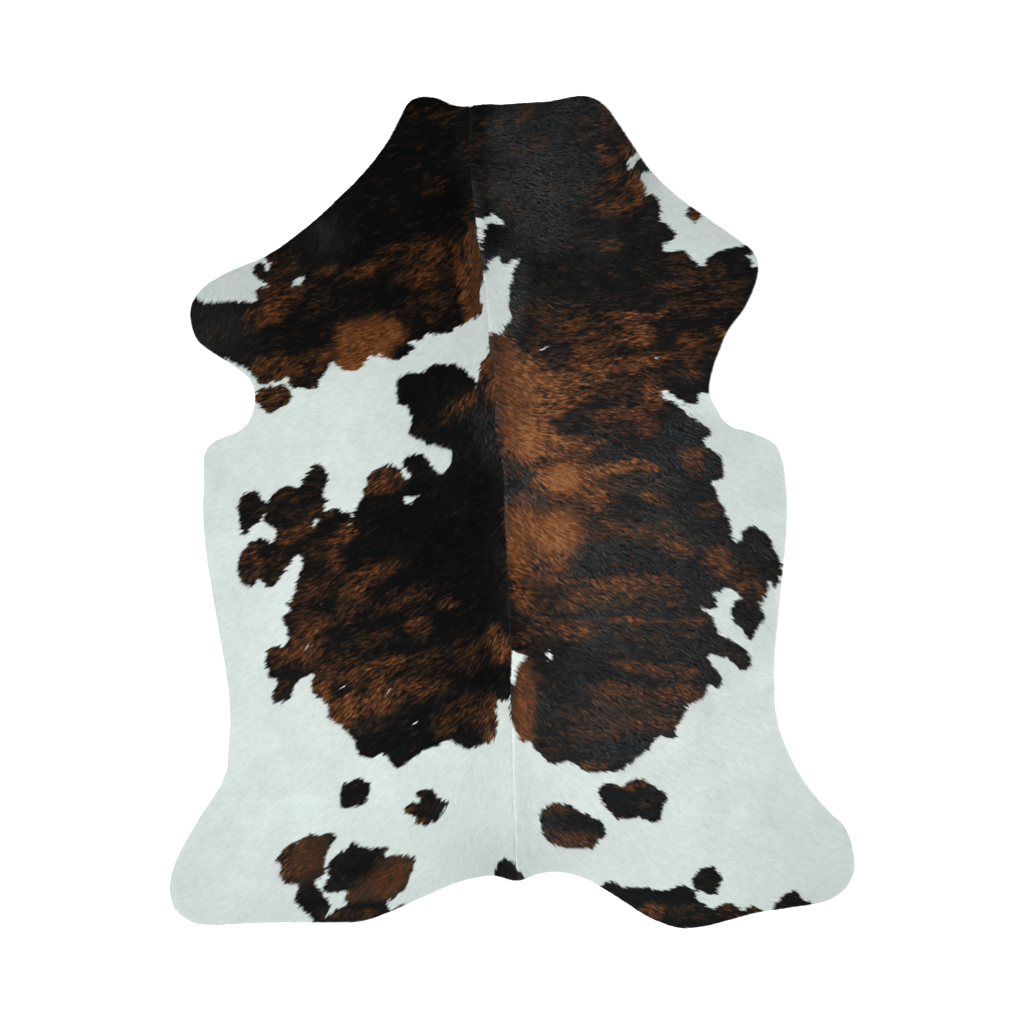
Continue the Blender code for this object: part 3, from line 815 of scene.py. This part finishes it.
def hair_material():
    """Short cattle hair, combed by growth and polished by licking and use.

    White hair has no pigment and scatters light like frosted glass. Black hair shows the smooth,
    waxy scales of its surface, so it mirrors the light where it faces it. Brindle hair is black,
    rust and tan in streaks. The IOR is that of keratin.
    """
    material, tree, shader = new_material("short cattle hair")
    pigment = add_node(tree, "ShaderNodeAttribute", {"attribute_name": "pigment"}).outputs["Fac"]
    warm = add_node(tree, "ShaderNodeAttribute", {"attribute_name": "warmth"}).outputs["Fac"]
    paleness_and_shade = add_node(tree, "ShaderNodeAttribute", {"attribute_name": "paleness_and_shade"}).outputs["Fac"]

    ramp = add_node(tree, "ShaderNodeValToRGB", {}, {"Fac": warm})
    stops = (
        (0.00, "#040405"), (0.20, "#1C160D"), (0.40, "#422A14"), (0.60, "#6B3812"),
        (0.80, "#8E4F22"), (1.00, "#AA7040"),
    )
    elements = ramp.color_ramp.elements
    elements[0].color = paint(stops[0][1])
    elements[1].position, elements[1].color = stops[-1][0], paint(stops[-1][1])
    for place, colour in stops[1:-1]:
        elements.new(place).color = paint(colour)

    # White hair goes from greyer to paler strand by strand: painted shade and light of its clumps
    white = add_node(
        tree, "ShaderNodeMix", {"data_type": "RGBA"},
        {"Factor": paleness_and_shade, "A": paint("#DADFD8"), "B": paint("#F0F2EC")},
    )
    coat = add_node(
        tree, "ShaderNodeMix", {"data_type": "RGBA"},
        {"Factor": pigment, "A": white.outputs["Result"], "B": ramp.outputs["Color"]},
    )
    tree.links.new(coat.outputs["Result"], shader.inputs["Base Color"])
    dark_rough = add_node(
        tree, "ShaderNodeMapRange", {}, {"Value": warm, "To Min": 0.41, "To Max": 0.58}
    )
    rough = add_node(
        tree, "ShaderNodeMapRange", {},
        {"Value": pigment, "To Min": 0.62, "To Max": dark_rough.outputs["Result"]},
    )
    tree.links.new(rough.outputs["Result"], shader.inputs["Roughness"])
    shader.inputs["IOR"].default_value = 1.55
    shader.inputs["Specular IOR Level"].default_value = 0.18
    return material


def leather_materials():
    """Chrome-tanned cattle hide: the grain under the hair, the sueded flesh side, the cut edge.

    The skin under dark hair is dark too. The flesh side is shaved and buffed, which leaves a short
    dull nap, and the knife bares paler fibres at the edge.
    """
    made = []
    for name, light, dark in (
        ("grain under the hair", "#C9C2B8", "#1C1714"),
        ("sueded flesh side", "#CDBFA8", "#B5A58C"),
        ("knife-cut edge", "#BDB3A3", "#A39885"),
    ):
        material, tree, shader = new_material(name)
        place = add_node(tree, "ShaderNodeTexCoord").outputs["Object"]
        if name == "grain under the hair":
            darkness = add_node(tree, "ShaderNodeAttribute", {"attribute_name": "pigment"})
        else:
            darkness = add_node(
                tree, "ShaderNodeTexNoise", {},
                {"Vector": place, "Scale": 1 / HIDE_BLOTCH, "Detail": 6},
            )
        colour = add_node(
            tree, "ShaderNodeMix", {"data_type": "RGBA"},
            {"Factor": darkness.outputs["Fac"], "A": paint(light), "B": paint(dark)},
        )
        nap = add_node(
            tree, "ShaderNodeTexNoise", {}, {"Vector": place, "Scale": 1 / SUEDE_NAP, "Detail": 3}
        )
        bump = add_node(
            tree, "ShaderNodeBump", {},
            {"Height": nap.outputs["Fac"], "Strength": 0.6, "Distance": 0.4 * MM},
        )
        tree.links.new(colour.outputs["Result"], shader.inputs["Base Color"])
        tree.links.new(bump.outputs["Normal"], shader.inputs["Normal"])
        shader.inputs["Roughness"].default_value = 0.9
        made.append(material)
    return made


# ---------------------------------------------------------------- meshes

def new_piece(name, mesh, materials):
    """Shows a mesh as a piece that lies with the hide."""
    piece = bpy.data.objects.new(name, mesh)
    bpy.context.scene.collection.objects.link(piece)
    for material in materials:
        mesh.materials.append(material)
    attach(piece, "root")
    return piece


def inside_line(x, y, line):
    """Whether each place lies inside a closed line."""
    odd = np.zeros(len(x), bool)
    for (x0, y0), (x1, y1) in zip(line, np.roll(line, -1, axis=0)):
        if y0 == y1:
            continue
        crosses = (y0 > y) != (y1 > y)
        odd ^= crosses & (x < x0 + (x1 - x0) * (y - y0) / (y1 - y0))
    return odd


def hexagonal_net(step):
    """Evenly spread places over the rug's box, with the row and column of each."""
    row_step = step * math.sqrt(0.75)
    rows = int((CAD_BOX[1].y - CAD_BOX[0].y) / row_step) + 1
    columns = int((CAD_BOX[1].x - CAD_BOX[0].x) / step) + 1
    row, column = np.indices((rows, columns)).reshape(2, -1)
    x = CAD_BOX[0].x + step * (column + 0.5 * (row % 2))
    return x, CAD_BOX[0].y + row_step * row, row, column


def tanned_skin():
    """The skin as one thin sheet on the frame's form, just inside the rim."""
    ahead = np.roll(rim, -1, axis=0) - np.roll(rim, 1, axis=0)
    inward = np.stack([-ahead[:, 1], ahead[:, 0]], axis=1)
    inward /= np.linalg.norm(inward, axis=1, keepdims=True)
    trial = rim + inward * MM
    if read(rim_depth, *trial.T).mean() < read(rim_depth, *rim.T).mean():
        inward = -inward
    edge = rim + inward * SKIN_INSET

    x, y = hexagonal_net(SKIN_STEP)[:2]
    kept = read(rim_depth, x, y) > SKIN_INSET + 0.5 * SKIN_STEP
    points = [Vector(p) for p in edge] + [Vector(p) for p in zip(x[kept], y[kept])]
    flat, _, faces = geometry.delaunay_2d_cdt(points, [], [], 0, 0.1 * MM, False)[:3]
    flat = np.array([p[:] for p in flat])
    faces = np.array([face for face in faces if len(face) == 3])
    centres = flat[faces].mean(axis=1)
    faces = faces[inside_line(centres[:, 0], centres[:, 1], edge)]
    a, b, c = (flat[faces[:, k]] for k in range(3))
    turned = np.cross(b - a, c - a) < 0
    faces[turned] = faces[turned][:, ::-1]

    mesh = bpy.data.meshes.new("tanned_skin")
    height = read(ground, flat[:, 0], flat[:, 1])
    mesh.from_pydata(np.column_stack([flat, height]).tolist(), [], faces.tolist())
    pigment = mesh.attributes.new("pigment", "FLOAT", "POINT")
    dark = np.clip(0.5 + read(dark_chart, flat[:, 0], flat[:, 1]) / SKIN_FADE, 0, 1)
    pigment.data.foreach_set("value", dark.astype(np.float32))
    mesh.shade_smooth()
    skin = new_piece("tanned_skin", mesh, leather_materials())
    thickness = skin.modifiers.new("leather", "SOLIDIFY")
    thickness.thickness = LEATHER
    thickness.offset = 1.0
    thickness.material_offset = 1
    thickness.material_offset_rim = 2
    return skin


def between(limits, count):
    """Random values, evenly spread between two limits."""
    return limits[0] + (limits[1] - limits[0]) * random.random(count)


def around(amount, count):
    """Random values that spread about 0 by this amount, most of them near it."""
    return amount * random.standard_normal(count)


def hair_net():
    """The place where each hair starts, with its row and column in the net."""
    x, y, row, column = hexagonal_net(ROOT_STEP)
    x = x + around(ROOT_JITTER, len(x))
    y = y + around(ROOT_JITTER, len(y))
    kept = read(rim_depth, x, y) > RIM_MARGIN
    return np.stack([x[kept], y[kept]], axis=1), row[kept], column[kept]


def hair_ways(root):
    """The way that each hair points along the skin, and its rise from it in degrees."""
    stray = around(STRAY, len(root))
    cos, sin = np.cos(stray), np.sin(stray)
    run_x, run_y, rise = (chart[cell_at(*root.T)] for chart in lay)
    along = np.stack([run_x * cos - run_y * sin, run_x * sin + run_y * cos], axis=1)
    return along / np.linalg.norm(along, axis=1, keepdims=True), rise


def hair_colours(seen):
    """The colours of the hairs, by the place where each is seen best, with the painted shade and light
    of their clumps.
    """
    x, y = seen.T
    edge = read(dark_chart, x, y) + around(EDGE_MIXING, len(seen))
    pigment = np.where(in_white_tuft(seen), 0, np.clip(0.5 + edge / PIGMENT_FADE, 0, 1))
    strand = read(strand_chart, x, y)
    own = around(1.0, len(seen))
    streak = read(streak_chart, x, y) + OWN_WEIGHT * own
    place_warmth = read(warm_chart, x, y)
    # Strands make dark hair warmer or blacker, partly in its own colour and partly as painted shade and
    # light of clumps
    warm = brindled(place_warmth, streak) * (1 + BRINDLE_STRAND_TONE_AND_SHADE * strand)
    even = np.clip(0.5 + read(even_chart, x, y) / EVEN_FADE, 0, EVEN_MOST)
    warm += even * (place_warmth * (1 + EVEN_STRAND_TONE_AND_SHADE * strand) - warm)
    warm = np.clip(warm * (1 + OWN_WARMTH * own), 0, 1)
    # The white's paleness strand by strand is painted shade and light of clumps
    paleness_and_shade = np.clip(0.5 + WHITE_STRAND_SHADE * strand + OWN_WHITE * own, 0, 1)
    return {"pigment": pigment, "warmth": warm, "paleness_and_shade": paleness_and_shade}


def hair_points(root, along, length, rise, pigment):
    """The three points of each hair: two at its root, turned about its length, and its tip."""
    count = len(root)
    tip = root + along * length[:, None]
    side = np.stack([-along[:, 1], along[:, 0]], axis=1)
    roll = np.radians(WHITE_ROLL + (DARK_ROLL - WHITE_ROLL) * pigment)
    roll *= 2 * random.random(count) - 1
    half_width = 0.5 * between(HAIR_WIDTH, count)
    skin_root = read(ground, root[:, 0], root[:, 1]) + LEATHER
    skin_tip = read(ground, tip[:, 0], tip[:, 1]) + LEATHER
    points = np.zeros((count, 3, 3))
    for corner, sign in ((0, -1), (1, 1)):
        points[:, corner, :2] = root + (sign * half_width * np.cos(roll))[:, None] * side
        points[:, corner, 2] = skin_root + ROOT_HEIGHT + sign * half_width * np.sin(roll)
    points[:, 2, :2] = tip
    steepness = np.radians(rise) * (1 + around(RISE_SPREAD, count))
    points[:, 2, 2] = skin_tip + ROOT_HEIGHT + length * np.sin(np.maximum(steepness, 0))
    return points


def rooted_hairs():
    """Every hair of the coat: its place in the net, its three points and its colours."""
    root, row, column = hair_net()
    along, rise = hair_ways(root)
    length = between(HAIR_LENGTH, len(root))

    # A hair whose tip would pass the rim too far is rooted further in
    for _ in range(3):
        tip = root + along * length[:, None]
        past = -read(rim_depth, tip[:, 0], tip[:, 1]) - between(OVERHANG, len(root))
        root -= along * np.maximum(past, 0)[:, None]

    colours = hair_colours(root + along * (SEEN_SHARE * length)[:, None])
    points = hair_points(root, along, length, rise, colours["pigment"])
    return row, column, points, colours


def coat_mesh(name, row, column, points, colours):
    """One mesh of many hairs, each a long pointed face."""
    count = len(points)
    mesh = bpy.data.meshes.new(name)
    mesh.vertices.add(3 * count)
    mesh.vertices.foreach_set("co", points.astype(np.float32).ravel())
    mesh.loops.add(3 * count)
    mesh.loops.foreach_set("vertex_index", np.arange(3 * count, dtype=np.int32))
    mesh.polygons.add(count)
    mesh.polygons.foreach_set("loop_start", np.arange(0, 3 * count, 3, dtype=np.int32))
    mesh.update(calc_edges=True)
    for label, values in colours.items():
        attribute = mesh.attributes.new(label, "FLOAT", "POINT")
        attribute.data.foreach_set("value", np.repeat(values, 3).astype(np.float32))

    # Each hair has its own cell in the OFBake map, beside the cells of its neighbours
    cell = np.stack([column // 2, 2 * (row // COAT_PIECES) + column % 2], axis=1)[:, None, :]
    corners = np.array(((0, 0), (1, 0), (0, 1)))
    places = ((cell + corners) / BAKE_CELLS).astype(np.float32).ravel()
    mesh.uv_layers.new(name="OFBake").data.foreach_set("uv", places)
    return mesh


def coat():
    """The whole coat as a few meshes, each of them spread over the whole rug."""
    row, column, points, colours = rooted_hairs()
    material = hair_material()
    made = []
    for index in range(COAT_PIECES):
        own = row % COAT_PIECES == index
        chosen = {label: values[own] for label, values in colours.items()}
        name = f"hair_coat_{index + 1}"
        mesh = coat_mesh(name, row[own], column[own], points[own], chosen)
        made.append(new_piece(name, mesh, [material]))
    return made


# ---------------------------------------------------------------- floor, light and camera

CAMERA_LENS = 85.0  # mm
CAMERA_SENSOR = 36.0  # mm
HAIR_TOP = 6 * MM  # above the floor, where the photo's scale holds
FLOOR_SIDE = 12.0
FLOOR_GAP = 0.5 * MM  # between the floor and the rug
LAMP_SIDE = 2.6
LAMP_SPREAD = 38  # degrees
LAMP_POWER = 41  # watts
LAMP_TILT = 36  # degrees from straight above
LAMP_WAY = 180  # degrees, which is from the left
LAMP_DISTANCE = 7.0
LAMP_AIM = Vector((0.1, -0.42, 0))
LAMP_COLOUR = (0.93, 1.0, 1.03)  # linear, cool daylight
ROOM_COLOUR = (0.95, 1.0, 1.02, 1.0)


def floor():
    """A plain white studio floor, lit from within a little so that it stays pale to the rim."""
    mesh = bpy.data.meshes.new("floor")
    half = 0.5 * FLOOR_SIDE
    corners = [(-half, -half, 0), (half, -half, 0), (half, half, 0), (-half, half, 0)]
    mesh.from_pydata(corners, [], [(0, 1, 2, 3)])
    surface = bpy.data.objects.new("floor", mesh)
    bpy.context.scene.collection.objects.link(surface)
    surface.location.z = -FLOOR_GAP
    material, tree, shader = new_material("white studio floor")
    shader.inputs["Base Color"].default_value = paint("#D8D8D8")
    shader.inputs["Roughness"].default_value = 0.8
    shader.inputs["Emission Color"].default_value = paint("#FFFFFF")
    shader.inputs["Emission Strength"].default_value = 0.9
    mesh.materials.append(material)


def lights():
    """A wide soft light from the left, and a pale room that is darker overhead than around."""
    world = bpy.data.worlds.new("pale room")
    bpy.context.scene.world = world
    world.use_nodes = True
    tree = world.node_tree
    background = tree.nodes["Background"]
    background.inputs["Color"].default_value = ROOM_COLOUR
    way = add_node(tree, "ShaderNodeTexCoord").outputs["Generated"]
    upward = add_node(tree, "ShaderNodeSeparateXYZ", {}, {"Vector": way}).outputs["Z"]
    strength = add_node(
        tree, "ShaderNodeMapRange", {},
        {"Value": upward, "From Min": 0.2, "From Max": 0.6, "To Min": 0.45, "To Max": 0.0},
    )
    tree.links.new(strength.outputs["Result"], background.inputs["Strength"])

    lamp = bpy.data.lights.new("window light", "AREA")
    lamp.shape = "SQUARE"
    lamp.size = LAMP_SIDE
    lamp.spread = math.radians(LAMP_SPREAD)
    lamp.energy = LAMP_POWER
    lamp.color = LAMP_COLOUR
    key = bpy.data.objects.new("window light", lamp)
    bpy.context.scene.collection.objects.link(key)
    tilt, way = math.radians(LAMP_TILT), math.radians(LAMP_WAY)
    towards = Vector(
        (math.sin(tilt) * math.cos(way), math.sin(tilt) * math.sin(way), math.cos(tilt))
    )
    key.location = LAMP_AIM + LAMP_DISTANCE * towards
    key.rotation_euler = (-towards).to_track_quat("-Z", "Y").to_euler()


def camera():
    """Straight above the rug's middle, as the photo was taken."""
    data = bpy.data.cameras.new("camera")
    data.lens = CAMERA_LENS
    data.sensor_width = CAMERA_SENSOR
    above = bpy.data.objects.new("camera", data)
    bpy.context.scene.collection.objects.link(above)
    above.location.z = HAIR_TOP + PHOTO_SIDE * PIXEL * CAMERA_LENS / CAMERA_SENSOR
    data.clip_end = 50
    bpy.context.scene.camera = above


skin = tanned_skin()
layers = coat()
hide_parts("hide")
floor()
lights()
camera()
bpy.context.scene.view_settings.view_transform = "Standard"
